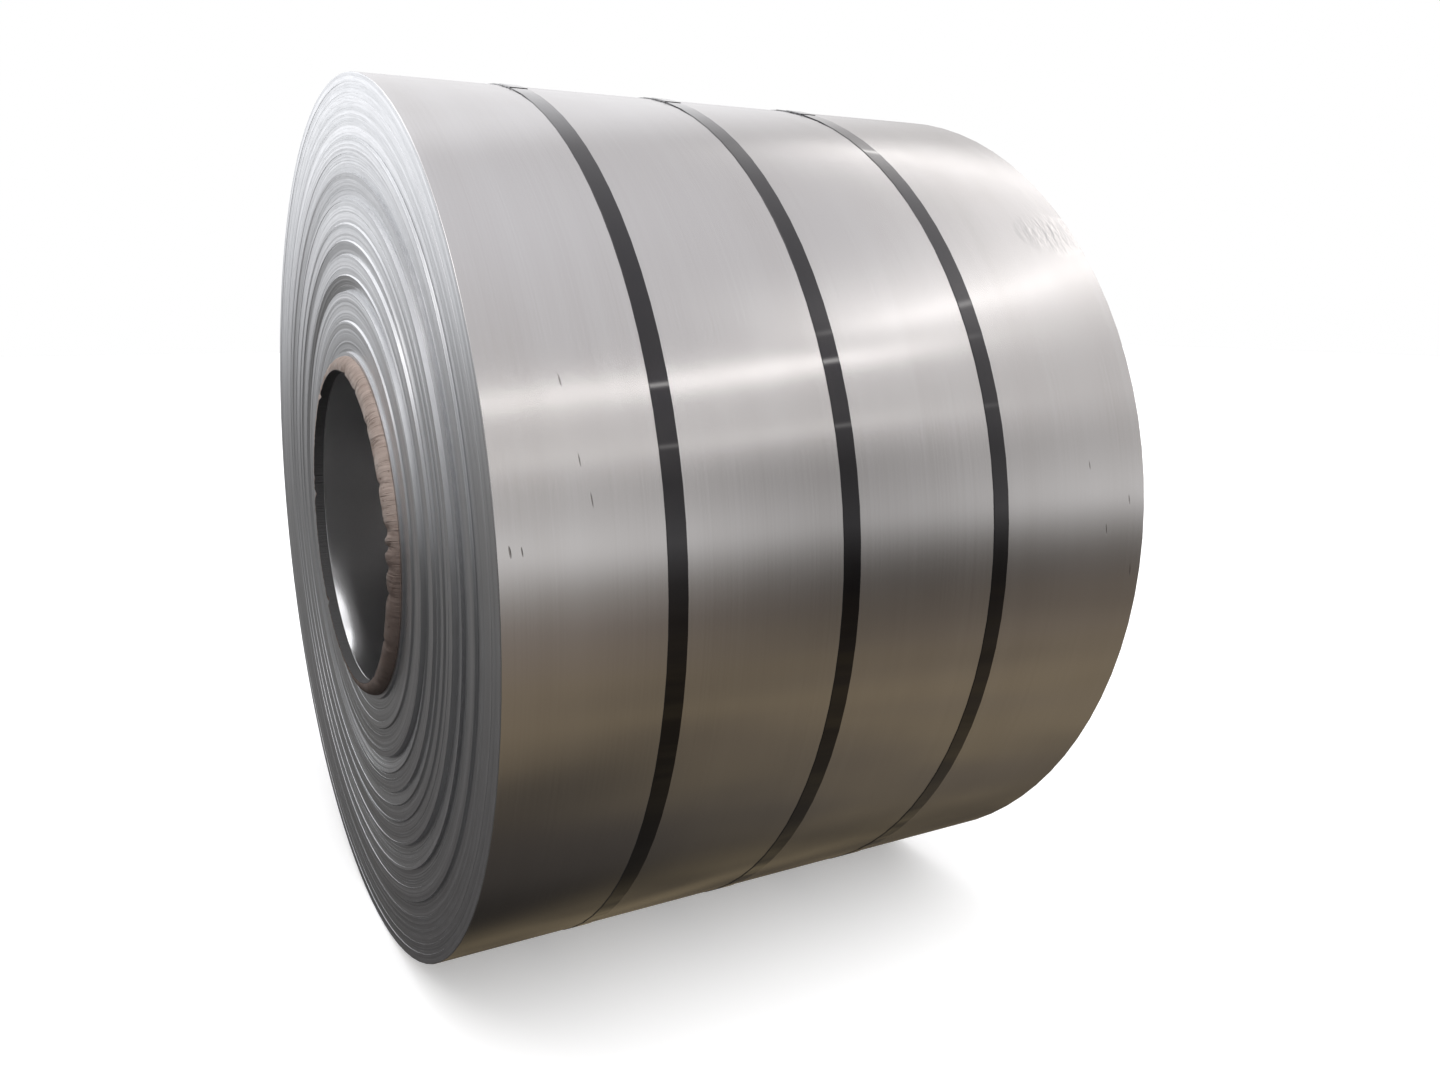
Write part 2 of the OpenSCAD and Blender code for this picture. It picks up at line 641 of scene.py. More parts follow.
def along_seal(place):
    """From -1 at one end of the clip to 1 at the other."""
    angle = math.atan2(place[2] - AXIS_Z, -place[1])
    return (angle - LAP_MIDDLE) / SEAL_HALF


for side in (-1, 1):
    for bite in BITES:
        pick(seal, seal_corners, lambda place: (
            place.x * side > AT_SIDE
            and radius_of(place) < FOOT_TOP
            and abs(along_seal(place) - bite) < BITE_HALF))
        bpy.ops.transform.translate(value=(side * FLARE, 0, 0))
        print("tab flared from", len(picked(seal)), "corners")

# %% [markdown]
# Solidify gives the folded line its thickness, and a narrow bevel breaks its edges so that they
# catch the light. Both are applied, and the seal is copied to the other two straps.

# %% Thicken and copy the seal
select_only(seal)
solid = seal.modifiers.new("thickness", "SOLIDIFY")
solid.thickness = SEAL_THICK
solid.offset = 0
bpy.ops.object.modifier_apply(modifier=solid.name)
broken = seal.modifiers.new("broken_edges", "BEVEL")
broken.width = 0.0002
broken.segments = 2
broken.limit_method = "ANGLE"
broken.angle_limit = math.radians(60)
bpy.ops.object.modifier_apply(modifier=broken.name)
close_shell(seal, smooth_below=35)
seals = copies_along(seal, SEAL_PIECES)
print("seal has", len(seal.data.polygons), "faces")

# %% [markdown]
# ## The bore rings
# A strip of paper board is rolled into a ring to guard the edge of the bore. Its section is a
# straight inner wall, a crest, and a rounded outer side that comes down to the coil. We spin that
# smooth section in many narrow columns, which leaves enough corners to crumple it afterwards.

# %% Turn a bore ring
ring_low, ring_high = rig.box("bore_ring_near")
RING_OUT = (ring_high.z - ring_low.z) / 2
RING_IN = BORE_R + 0.001
RING_TALL = ring_high.x - ring_low.x
RING_CREST = 0.003
RING_COLUMNS = 320
RING_SIDE = 9


def ring_section():
    """Up the inner wall, over the crest and down the rounded outer side, as (radius, height)."""
    crest = RING_IN + RING_CREST
    points = [(RING_IN, 0.0), (RING_IN, RING_TALL * 0.4), (RING_IN, RING_TALL * 0.8)]
    points += [(RING_IN, RING_TALL), (RING_IN + RING_CREST / 2, RING_TALL)]
    for i in range(RING_SIDE + 1):
        turn = math.pi / 2 * i / RING_SIDE
        points.append((crest + (RING_OUT - crest) * math.sin(turn), RING_TALL * math.cos(turn)))
    return points


section = ring_section()
near_ring = draw_line(
    "paper_ring_near", [at(r, TAIL_ANGLE, NEAR_END - h) for r, h in section + section[:1]])
bpy.ops.mesh.remove_doubles(threshold=SAME_PLACE)
bpy.ops.mesh.select_all(action="SELECT")
spin(math.tau, RING_COLUMNS)
clear()
print("ring stands", round(RING_TALL, 4), "proud, out to", round(RING_OUT, 4))

# %% [markdown]
# Board that is bent round that tightly crumples: it has shallow pleats across it, a ragged torn
# rim, and a few deep tears. We move its corners by noise, which suits paper better than any
# regular tool. The pleats run across the ring, so the noise is read mostly by angle. Each tear
# has its angle and half width in degrees, and its depth. The front of the ring, where the
# handling is, is the most frayed.

# %% Crumple the ring
TEARS = (
    (81, 2.6, 0.006), (64, 1.4, 0.004), (46, 1.2, 0.003), (24, 1.6, 0.004), (9, 3.0, 0.007),
    (3.5, 1.6, 0.009), (-3, 2.4, 0.006), (-12, 1.6, 0.005), (-31, 1.2, 0.003), (-55, 1.5, 0.003),
    (128, 2.0, 0.005), (176, 1.8, 0.004), (221, 2.2, 0.004))
FRAYED_FROM, FRAYED_TO, FRAYED_MORE = -16, 18, 1.1
PLEATS, FOLDS, WAVES = 26, 90, 3
PLEAT_DROP, FOLD_DROP = 0.0022, 0.0009
PLEAT_INWARD, FOLD_INWARD = 0.0012, 0.0006
PAPER_SEED = 4.0


def torn(degrees, up):
    """How deep the tears reach at this angle, for a corner this share of the way up."""
    depth = 0
    for middle, half, deepest in TEARS:
        away = abs((degrees - middle + 180) % 360 - 180)
        if away < half:
            depth += deepest * (1 - away / half) * up
    return depth


def crumple(place):
    """Where a corner of the smooth ring goes."""
    up = (NEAR_END - place.x) / RING_TALL
    side = (radius_of(place) - RING_IN) / (RING_OUT - RING_IN)
    angle = math.atan2(place.z - AXIS_Z, -place.y)
    degrees = math.degrees(angle)
    around = Vector((math.cos(angle), math.sin(angle), 0))
    pleat = abs(noise.noise(around * PLEATS + Vector((0, 0, side * 1.2 + PAPER_SEED))))
    fold = abs(noise.noise(around * FOLDS + Vector((0, 0, side * 5 + PAPER_SEED))))
    rough = 0.5 + abs(noise.noise(around * WAVES + Vector((0, 0, PAPER_SEED))))
    if FRAYED_FROM < degrees < FRAYED_TO:
        rough += FRAYED_MORE
    drop = (pleat * PLEAT_DROP + fold * FOLD_DROP) * rough + torn(degrees, up)
    inward = (pleat * PLEAT_INWARD + fold * FOLD_INWARD) * rough
    at_edge = min(1, side * 4) if up < 0.999 else 0.3
    sink = outward(angle) * inward * at_edge * min(1, up * 3 + 0.2)
    return Vector((place.x + drop * up, place.y, place.z)) - sink


for vertex in near_ring.data.vertices:
    vertex.co = crumple(vertex.co)
close_shell(near_ring, smooth_below=50)

# %% [markdown]
# The far ring guards the other end. It is a copy, turned half round about the upright line
# through the middle of the coil, so that its crest faces outwards there too.

# %% Copy the ring to the far end
far_ring = copy_of(near_ring, "paper_ring_far")
edit_all(far_ring)
bpy.ops.transform.rotate(value=math.pi, orient_axis="Z", center_override=CENTRE)
clear()
print("rings:", near_ring.name, "and", far_ring.name)

# %% [markdown]
# ## Writing materials as sums
# A shader is a small calculation for every point of a surface. `Wire` wraps one output of one
# node, so that a sum on it adds the Math node that works it out.

# %% Sums on wires
class Wire:
    def __init__(self, recipe, socket):
        self.recipe = recipe
        self.socket = socket

    def maths(self, operation, *values):
        node = self.recipe.add("ShaderNodeMath", {"operation": operation}, dict(enumerate(values)))
        return self.recipe.out(node)

    def __add__(self, other):
        return self.maths("ADD", self, other)

    def __sub__(self, other):
        return self.maths("SUBTRACT", self, other)

    def __rsub__(self, other):
        return self.maths("SUBTRACT", other, self)

    def __mul__(self, other):
        return self.maths("MULTIPLY", self, other)

    def __truediv__(self, other):
        return self.maths("DIVIDE", self, other)

    def __rtruediv__(self, other):
        return self.maths("DIVIDE", other, self)

    def __pow__(self, other):
        return self.maths("POWER", self, other)

    def __rpow__(self, other):
        return self.maths("POWER", other, self)

    def __neg__(self):
        return self * -1

    __radd__ = __add__
    __rmul__ = __mul__

    def do(self, operation, *others):
        """Any other Math operation on this value, such as SINE or MAXIMUM."""
        return self.maths(operation, self, *others)

    def bell(self, middle, half_width, strength):
        """A bell-shaped rise to this strength where the value is at the middle."""
        off = (self - middle) / half_width
        return (off * off * -1).do("EXPONENT") * strength


print("sums on wires: + - * / ** and do(), for any other Math operation")

# %% [markdown]
# A `Recipe` holds one material's nodes. Every node that isn't a sum comes from `Recipe.add`,
# which takes the node's type, its settings, and what goes into its sockets. Patterns are read
# from Object coordinates, and `place` also gives the height above the coil's axis, because
# most of the coil's patterns run round it. Bump heights are in metres, like everything else.

# %% Recipes for materials
class Recipe:
    def __init__(self, owner):
        owner.use_nodes = True
        self.tree = owner.node_tree
        self.tree.nodes.clear()

    def add(self, kind, settings, inputs):
        node = self.tree.nodes.new(kind)
        for name, value in settings.items():
            if name == "stops":
                self.set_stops(node.color_ramp, value)
            else:
                setattr(node, name, value)
        for socket, value in inputs.items():
            if isinstance(value, Wire):
                self.tree.links.new(value.socket, node.inputs[socket])
            else:
                node.inputs[socket].default_value = value
        return node

    def set_stops(self, ramp, stops):
        while len(ramp.elements) < len(stops):
            ramp.elements.new(1.0)
        for element, (position, tint) in zip(ramp.elements, stops):
            element.position = position
            element.color = (*tint, 1)

    def out(self, node, name=0):
        return Wire(self, node.outputs[name])

    def split(self, vector):
        parts = self.add("ShaderNodeSeparateXYZ", {}, {0: vector})
        return [self.out(parts, i) for i in range(3)]

    def place(self):
        """Object coordinates: the vector, its parts x and y, and the height above the axis."""
        vector = self.out(self.add("ShaderNodeTexCoord", {}, {}), "Object")
        x, y, z = self.split(vector)
        return vector, x, y, z - AXIS_Z

    def vector(self, x, y, z):
        return self.out(self.add("ShaderNodeCombineXYZ", {}, {0: x, 1: y, 2: z}))

    def noise(self, vector, scale, detail=2.0, roughness=0.5):
        node = self.add("ShaderNodeTexNoise", {"noise_dimensions": "3D"}, {
            "Vector": vector, "Scale": scale, "Detail": detail, "Roughness": roughness})
        return self.out(node, "Fac")

    def between(self, value, low, high, new_low=0.0, new_high=1.0, smooth=False):
        """Goes from new_low to new_high as the value goes from low to high."""
        kind = "SMOOTHSTEP" if smooth else "LINEAR"
        node = self.add("ShaderNodeMapRange", {"interpolation_type": kind, "clamp": True}, {
            "Value": value, "From Min": low, "From Max": high,
            "To Min": new_low, "To Max": new_high})
        return self.out(node)

    def mix(self, share, first, second):
        """A colour between two colours."""
        node = self.add("ShaderNodeMix", {"data_type": "RGBA"}, {0: share, 6: first, 7: second})
        return self.out(node, 2)

    def bump(self, height):
        node = self.add("ShaderNodeBump", {}, {
            "Height": height, "Strength": 1.0, "Distance": 1.0})
        return self.out(node, "Normal")

    def finish(self, inputs):
        shader = self.add("ShaderNodeBsdfPrincipled", {}, inputs)
        self.add("ShaderNodeOutputMaterial", {}, {"Surface": self.out(shader, "BSDF")})


print("recipe tools:", [name for name in vars(Recipe) if not name.startswith("__")])

# %% [markdown]
# Most of the coil's patterns follow the angle round it or the distance out from its axis, so
# those two are worked out in one place. The shader's angles come in radians, as Python's do.

# %% Colours, angles and distances
DEGREES = 180 / math.pi


def new_finish(name):
    material = bpy.data.materials.new(name)
    return material, Recipe(material)


def colour(red, green, blue):
    return (red, green, blue, 1)


def angle_round(y, height):
    """The angle in radians above the front level, as a value in the shader."""
    return height.maths("ARCTAN2", height, -y)


def distance_out(y, height):
    """The distance from the coil's axis, as a value in the shader."""
    return (y * y + height * height) ** 0.5


print("one radian is", round(DEGREES, 2), "degrees")

# %% [markdown]
# ## Bright rolled sheet
# A few nicks from handling sit where a coil gets knocked, and a dent high up near the far end.
# Each is an oval mark, given by its place along the strip, its angle in degrees, and its half
# width and half length. They are drawn in the material, because they are far shallower than
# the sheet is thick.

# %% Nicks and a dent
NICKS = (
    (0.118, 23.2, 0.0012, 0.011), (0.130, 15.5, 0.0010, 0.010), (0.142, 11.7, 0.0012, 0.012),
    (0.019, 7.6, 0.0018, 0.009), (0.036, 7.5, 0.0012, 0.007), (0.268, 26.0, 0.0010, 0.006),
    (1.086, 10.9, 0.0014, 0.009), (1.125, 2.9, 0.0013, 0.011), (1.181, 6.2, 0.0015, 0.010),
    (1.194, -2.6, 0.0013, 0.012))
NICK_LEAN = 0.09
DENT = (1.160, 42.0, 0.085, 0.055)
DENT_LEAN = 0


def oval_mark(along, angle, oval, lean):
    """1 at the middle of the oval, and 0 outside it."""
    place, degrees, half_width, half_length = oval
    turned = angle - math.radians(degrees)
    across = (along - place + turned * lean) / half_width
    down = turned * (COIL_R / half_length)
    return (1.0 - across * across - down * down).do("MAXIMUM", 0.0)


def nick_marks(along, angle):
    marks = [oval_mark(along, angle, nick, NICK_LEAN) for nick in NICKS]
    return sum(marks[1:], marks[0])


print(len(NICKS), "nicks and a dent", DENT[0], "along the strip")

# %% [markdown]
# Cold-rolled strip is nearly a mirror, but the rolls leave fine lines along its length, which
# on a coil run round the barrel. They smear a reflection sideways and leave it crisp up and
# down. Noise that is squeezed a lot along the axis and hardly at all round it makes those
# lines. A slow, shallow wave in the sheet bends the reflections a little. The bore is given a
# paler steel, because light leaves it only after many reflections, and each one darkens it. Low
# on its left the innermost wrap has sprung a little, so that its lip catches the light.

# %% Rolled sheet material
LIP_DEEP, LIP_ANGLE, LIP_SPREAD, LIP_RISE = 0.050, -124, 25, 0.0065
BORE_SKIN, BARREL_SKIN = BORE_R + 0.02, BORE_R + 0.03


def rolled_sheet():
    material, recipe = new_finish("rolled_sheet")
    vector, x, y, height = recipe.place()
    angle = angle_round(y, height)
    along = x - NEAR_END
    lines = recipe.noise(recipe.vector(x * 420, y * 1.5, height * 1.5), 1.0, 4, 0.6)
    bands = recipe.noise(recipe.vector(x * 14, y * 0.8, height * 0.8), 1.0, 2, 0.5)
    stains = recipe.noise(vector, 2.3, 4, 0.6)
    waves = recipe.noise(recipe.vector(x * 1.6, y * 3.2, height * 3.2), 1.0, 2, 0.4)
    creases = recipe.noise(recipe.vector(x * 55, y * 20, height * 20), 1.0, 3, 0.65)
    nicked = nick_marks(along, angle)
    dented = oval_mark(along, angle, DENT, DENT_LEAN) * creases
    in_bore = recipe.between(distance_out(y, height), BORE_SKIN, BARREL_SKIN, 1.0, 0.0)
    lip = (1.0 - along / LIP_DEEP).do("MAXIMUM", 0.0) ** 2.0
    sprung = lip * (angle * DEGREES).bell(LIP_ANGLE, LIP_SPREAD, LIP_RISE) * in_bore
    relief = lines * 0.000003 + waves * 0.0018 + dented * 0.0016 - nicked * 0.0004 - sprung
    shade = recipe.between(lines * 0.5 + bands * 0.5, 0.35, 0.65)
    steel = recipe.mix(shade, colour(0.625, 0.612, 0.608), colour(0.665, 0.655, 0.655))
    stained = recipe.between(stains, 0.55, 0.8) * 0.25
    steel = recipe.mix(stained, steel, colour(0.52, 0.49, 0.46))
    steel = recipe.mix(nicked.do("MINIMUM", 0.75), steel, colour(0.20, 0.18, 0.17))
    steel = recipe.mix(in_bore, steel, colour(0.87, 0.865, 0.865))
    roughness = recipe.between(lines, 0.3, 0.7, 0.18, 0.20)
    roughness = roughness + recipe.between(stains, 0.4, 0.8) * 0.04
    recipe.finish({
        "Base Color": steel, "Roughness": roughness, "Normal": recipe.bump(relief),
        "Metallic": 1.0})
    return material


sheet_face = rolled_sheet()
print("rolled sheet has", len(sheet_face.node_tree.nodes), "nodes")

# %% [markdown]
# ## Slit edges
# The ends of the coil are the strip's cut edges, seen on edge. A slitter leaves each edge half
# sheared and half torn, duller than the rolled face. Their colour changes from wrap to wrap,
# so the pattern is noise read by radius alone, with a little drift round the coil.

# %% Slit edge material
def slit_edges():
    material, recipe = new_finish("slit_edges")
    vector, x, y, height = recipe.place()
    radius = distance_out(y, height)
    drift = recipe.noise(vector, 1.6, 2, 0.5) * 0.004
    fine = recipe.noise(recipe.vector(radius * 900 + drift * 200, 0.0, 0.0), 1.0, 3, 0.7)
    groups = recipe.noise(recipe.vector((radius + drift) * 60, 3.0, 0.0), 1.0, 3, 0.6)
    specks = recipe.noise(recipe.vector(radius * 300, y * 18, height * 18), 1.0, 3, 0.6)
    relief = fine * 0.00003 + groups * 0.0002 + specks * 0.00002
    shade = recipe.between(fine * 0.6 + groups * 0.4, 0.35, 0.65)
    recipe.finish({
        "Base Color": recipe.mix(shade, colour(0.42, 0.43, 0.44), colour(0.72, 0.72, 0.73)),
        "Roughness": recipe.between(specks, 0.3, 0.7, 0.28, 0.38),
        "Normal": recipe.bump(relief), "Metallic": 1.0})
    return material


slit_edge = slit_edges()
print("slit edges have", len(slit_edge.node_tree.nodes), "nodes")

# %% [markdown]
# ## Blued strap and seals
# Steel strapping is heated until it turns blue-black, then waxed. The dark oxide hides the
# metal, while the wax gives it a sharp, thin gloss, so it is a dark base under a clear coat.
# The seals are handled more, so their worn colour is much paler.

# %% Blued steel material
def blued_steel(name, dark, worn, roughness):
    material, recipe = new_finish(name)
    vector, x, y, height = recipe.place()
    streaks = recipe.noise(recipe.vector(x * 260, y * 5, height * 5), 1.0, 3, 0.6)
    blotches = recipe.noise(vector, 22.0, 4, 0.6)
    recipe.finish({
        "Base Color": recipe.mix(recipe.between(blotches, 0.35, 0.7), dark, worn),
        "Roughness": recipe.between(streaks, 0.3, 0.7, roughness - 0.03, roughness + 0.04),
        "Normal": recipe.bump(streaks * 0.00002 + blotches * 0.00006), "Metallic": 1.0,
        "Coat Weight": recipe.between(blotches, 0.3, 0.7, 1.0, 0.85),
        "Coat Roughness": 0.04, "Coat IOR": 1.55})
    return material


strap_blue = blued_steel(
    "strap_blue", colour(0.016, 0.015, 0.019), colour(0.028, 0.026, 0.029), 0.20)
seal_blue = blued_steel(
    "seal_blue", colour(0.060, 0.060, 0.066), colour(0.150, 0.146, 0.145), 0.26)
print("blued finishes:", strap_blue.name, "and", seal_blue.name)

# %% [markdown]
# ## Kraft board
# Brown paper board is soft, matte and full of fibres. It is paler where it is torn or rubbed,
# along the rim, and its creases low down are painted darker, as painted shade. Fine noise makes
# the fibres, and a coarser noise the mottling. The lower part is painted darker, as painted
# shade where less light falls, and the inner wall is painted near black, as the painted shade
# inside the bore. Each of these is one more mix over the last.

# %% Kraft board material
RIM_TOP = RING_TALL - NEAR_END
RIM_LOW = RING_TALL * 0.72 - NEAR_END
WALL_FROM, WALL_TO = RING_IN + 0.0008, RING_IN + 0.0016


def board_colour(recipe, vector, x, height, mottle, pleats):
    rim = recipe.between(x.do("ABSOLUTE"), RIM_LOW, RIM_TOP) * recipe.between(mottle, 0.4, 0.6)
    spots = recipe.between(recipe.noise(vector, 95.0, 2, 0.5), 0.66, 0.74)
    # painted shade: the ring is darker towards the bottom, where less light falls
    painted_low_shade = recipe.between(height, 0.13, -0.04, smooth=True)
    paper = recipe.mix(
        recipe.between(mottle * 0.6 + pleats * 0.4, 0.35, 0.65),
        colour(0.44, 0.345, 0.30), colour(0.62, 0.51, 0.455))
    paper = recipe.mix(rim * 0.7, paper, colour(0.72, 0.65, 0.60))
    paper = recipe.mix(spots * 0.5, paper, colour(0.13, 0.09, 0.07))
    # the painted shade low on the ring, mixed over the paper
    return recipe.mix(painted_low_shade * 0.75, paper, colour(0.10, 0.07, 0.058))


def kraft_paper():
    material, recipe = new_finish("kraft_paper")
    vector, x, y, height = recipe.place()
    angle, radius = angle_round(y, height), distance_out(y, height)
    fibres = recipe.noise(vector, 420.0, 4, 0.7)
    mottle = recipe.noise(vector, 38.0, 4, 0.6)
    pleats = recipe.noise(recipe.vector(angle * 46, x * 8, 0.0), 1.0, 3, 0.6)
    creases = recipe.noise(recipe.vector(angle * 75, radius * 30, 0.0), 1.0, 3, 0.6)
    # creases low on the ring: this mask dents them and also paints shade into them
    crease_dents_and_shade = recipe.between(creases, 0.54, 0.68) * recipe.between(height, -0.10, 0.02)
    # painted shade: the ring's inner wall, inside the bore, is painted near black
    inner_wall_shade = recipe.between(radius, WALL_FROM, WALL_TO, 1.0, 0.0)
    paper = board_colour(recipe, vector, x, height, mottle, pleats)
    # painted shade: the creases low on the ring are painted darker
    paper = recipe.mix(crease_dents_and_shade * 0.45, paper, colour(0.17, 0.115, 0.09))
    # the painted shade of the inner wall, mixed over the paper
    paper = recipe.mix(inner_wall_shade, paper, colour(0.085, 0.083, 0.084))
    relief = fibres * 0.0003 + mottle * 0.0014 + pleats * 0.0020 - crease_dents_and_shade * 0.0012
    recipe.finish({
        "Base Color": paper, "Roughness": recipe.between(mottle, 0.3, 0.7, 0.78, 0.92),
        "Normal": recipe.bump(relief), "Specular IOR Level": 0.25})
    return material


kraft = kraft_paper()
print("kraft board has", len(kraft.node_tree.nodes), "nodes")

# %% [markdown]
# ## Putting the finishes on
# The coil takes two finishes: rolled sheet on the barrel and in the bore, and slit edges on its
# two ends. The ends are the faces between the two wraps, and those whose normals point mostly
# along the axis.

# %% Assign the materials
FACING_ALONG = 0.9


def wear(pieces, material):
    for piece in pieces:
        piece.data.materials.clear()
        piece.data.materials.append(material)


def on_end(face):
    radius = radius_of(face.calc_center_median())
    return FIRST_TURN < radius < LAST_TURN or abs(face.normal.x) > FACING_ALONG


wear([coil], sheet_face)
coil.data.materials.append(slit_edge)
edit_all(coil)
bpy.ops.mesh.select_mode(type="FACE")
end_faces = 0
for face in bmesh.from_edit_mesh(coil.data).faces:
    face.select_set(on_end(face))
    end_faces += face.select
coil.active_material_index = 1
bpy.ops.object.material_slot_assign()
bpy.ops.mesh.select_mode(type="VERT")
clear()
wear(straps, strap_blue)
wear(seals, seal_blue)
wear([near_ring, far_ring], kraft)
print(end_faces, "faces of the coil are slit edge")

# %% [markdown]
# ## Tying the pieces to the frame
# Each finished piece stands for one solid of the frame, rides on its only body, and says which
# finish of the record it wears.

# %% Tie the pieces
def stand_for(piece, node, finish):
    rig.ride(piece, "root")
    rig.replaces(piece, node)
    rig.slot(piece, finish)


stand_for(coil, "coil", "bright_strip")
for piece, node in zip(straps, STRAPS):
    stand_for(piece, node, "blued_strap")
for piece, node in zip(seals, SEALS):
    stand_for(piece, node, "blued_seal")
stand_for(near_ring, "bore_ring_near", "kraft_board")
stand_for(far_ring, "bore_ring_far", "kraft_board")
print("the table has", len(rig.table()), "rows")

# %% [markdown]
# ## The floor
# It is plain and pale, and glows a little, like a light table, so that the shadow under the coil
# stays soft. The coil doesn't see the floor: its underside has to stay dark, as over a shaded
# floor, and the room below takes care of that.

# %% Lay the floor
FLOOR_SIZE, FLOOR_DROP = 60, 0.0005
clear()
bpy.ops.mesh.primitive_plane_add(size=FLOOR_SIZE, location=(0, 0, -FLOOR_DROP))
floor = bpy.context.object
floor.name = "floor"
floor_paint, floor_recipe = new_finish("floor_paint")
floor_recipe.finish({
    "Base Color": colour(0.93, 0.93, 0.93), "Roughness": 0.9,
    "Emission Color": colour(1, 1, 1), "Emission Strength": 0.3})
wear([floor], floor_paint)
floor.visible_glossy = False
floor.visible_diffuse = False
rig.stage(floor)
print("floor laid,", FLOOR_SIZE, "wide")

# %% [markdown]
# ## The soft light
# A wide, soft light from the front and above lightens the floor and the paper board. A sun is
# simplest, because it is equally strong everywhere, and a large angle makes its shadows soft.
# Polished steel would show it as a disc, so reflections leave it out.

# %% Hang the soft light
LIGHT_TILT, LIGHT_WIDTH = math.radians(34), math.radians(70)
LIGHT_STRENGTH = 2.4
clear()
bpy.ops.object.light_add(type="SUN", location=(0, 0, 6), rotation=(LIGHT_TILT, 0, 0))
soft_light = bpy.context.object
soft_light.name = "soft_light"
soft_light.data.energy = LIGHT_STRENGTH
soft_light.data.angle = LIGHT_WIDTH
soft_light.visible_glossy = False
print("soft light of strength", soft_light.data.energy)

# %% [markdown]
# ## The room that the steel reflects
# Polished metal looks like what is around it, so the room matters as much as the steel. It is
# painted on the world, by the direction that a reflection looks in: `up` is that direction's
# height in degrees, and `side` is how far it turns from the front towards the far end. Its
# heights and colours are brown and dark below, grey at the level, and pale above. The barrel
# and the near end see different halves of the room, so each half has its own list.

# %% Look into the room
BARREL_SIDE = (
    (-90, (0.030, 0.028, 0.026)), (-66, (0.070, 0.062, 0.056)), (-56, (0.105, 0.091, 0.077)),
    (-44, (0.195, 0.160, 0.120)), (-30, (0.232, 0.190, 0.150)), (-17, (0.26, 0.220, 0.192)),
    (-9, (0.32, 0.30, 0.28)), (-5, (0.54, 0.525, 0.515)), (0, (0.92, 0.905, 0.90)),
    (8, (0.68, 0.665, 0.66)), (13, (0.58, 0.565, 0.56)), (18, (0.70, 0.68, 0.675)),
    (26, (0.74, 0.72, 0.715)), (34, (0.72, 0.70, 0.70)), (46, (0.70, 0.685, 0.695)),
    (58, (0.76, 0.745, 0.76)), (70, (0.84, 0.83, 0.855)), (90, (0.88, 0.88, 0.91)))
END_SIDE = (
    (-90, (0.030, 0.028, 0.028)), (-40, (0.060, 0.056, 0.056)), (-28, (0.085, 0.079, 0.078)),
    (-18, (0.14, 0.134, 0.13)), (-10, (0.20, 0.195, 0.19)), (-5, (0.27, 0.266, 0.266)),
    (-1, (0.56, 0.56, 0.575)), (4, (1.05, 1.06, 1.09)), (9, (1.6, 1.61, 1.66)),
    (20, (1.7, 1.71, 1.75)), (40, (1.8, 1.81, 1.85)), (65, (2.0, 2.0, 2.05)),
    (90, (0.95, 0.95, 0.98)))
world = bpy.data.worlds.new("room")
bpy.context.scene.world = world
room = Recipe(world)
direction = room.out(room.add("ShaderNodeTexCoord", {}, {}), "Generated")
x, y, z = room.split(direction)
up = z.do("ARCSINE") * DEGREES
side = x.maths("ARCTAN2", x, -y) * DEGREES


def by_height(heights):
    stops = [(0.5 + degrees / 180, tint) for degrees, tint in heights]
    ramp = room.add("ShaderNodeValToRGB", {"stops": stops}, {0: up / 180 + 0.5})
    return room.out(ramp, "Color")


print("the room has", len(BARREL_SIDE), "heights for the barrel and", len(END_SIDE), "for the end")

# %% [markdown]
# The barrel's half is dark where the coil hides the floor, dimmer at the level and below it
# towards the far side, and bright behind. Brown and dark clouds low down stand for the blurred
# things that a real workshop has on its floor. Each is a share of one more colour.

# %% Paint the barrel's half
under_coil = room.between(side, 85, 130, smooth=True) * room.between(up, 4, -8)
dim_level = side.bell(37, 8.5, 0.45) * room.between(up, 26, 14)
dim_low = room.between(side, 24, 46, smooth=True) * up.bell(-15, 11, 0.5)
streaked = room.vector(x * 5, y * 5, z * 15)
clouds = room.between(room.noise(streaked, 1.0, 5, 0.6), 0.42, 0.60)
brown = clouds * room.between(up, -66, -48) * room.between(up, -14, -30)
dark_clouds = room.between(room.noise(streaked, 0.7, 4, 0.6), 0.50, 0.66)
gloom = dark_clouds * room.between(up, -8, -20) * 0.35
behind = room.between(side, 132, 150, smooth=True) * room.between(up, 2, 16)
barrel_sky = by_height(BARREL_SIDE)
barrel_sky = room.mix(under_coil * 0.75, barrel_sky, colour(0.01, 0.01, 0.01))
barrel_sky = room.mix(dim_level + dim_low, barrel_sky, colour(0.03, 0.027, 0.024))
barrel_sky = room.mix(brown * 0.7, barrel_sky, colour(0.29, 0.232, 0.145))
barrel_sky = room.mix(gloom, barrel_sky, colour(0.05, 0.045, 0.04))
barrel_sky = room.mix(behind * 0.6, barrel_sky, colour(1.25, 1.25, 1.28))
print("the barrel's half is painted with", len(room.tree.nodes), "nodes so far")

# %% [markdown]
# Seen from the front, the near end mirrors the back of the room. So its half is bright there,
# and dimmer towards the front, which is what turns that lean out of line show. One more glow at
# the back brightens the end's left side. The two halves meet softly, where a direction turns
# from pointing towards the far end to pointing towards the near end.

# %% Paint the end's half
aside = room.between(side, -152, -130, smooth=True) * room.between(up, 65, 25, 0.3, 0.8)
left_glow = side.bell(-151, 10, 0.85) * room.between(up, -5, 0)
end_half = room.between(x, 0.10, 0.0, smooth=True)
end_sky = room.mix(aside, by_height(END_SIDE), colour(0.10, 0.10, 0.10))
end_sky = room.mix(left_glow, end_sky, colour(1.7, 1.72, 1.76))
sky = room.mix(end_half, barrel_sky, end_sky)
print("both halves are painted with", len(room.tree.nodes), "nodes")

# %% [markdown]
# The lamps are level tubes, drawn as narrow bells of height. The near tube, about 35 degrees up,
# draws the bright line on the barrel. Towards the far side it gives way to a wide lamp with a
# bright core at about 41 degrees, and a fainter tube lies below both. The coil's end has one
# broad lamp of its own.

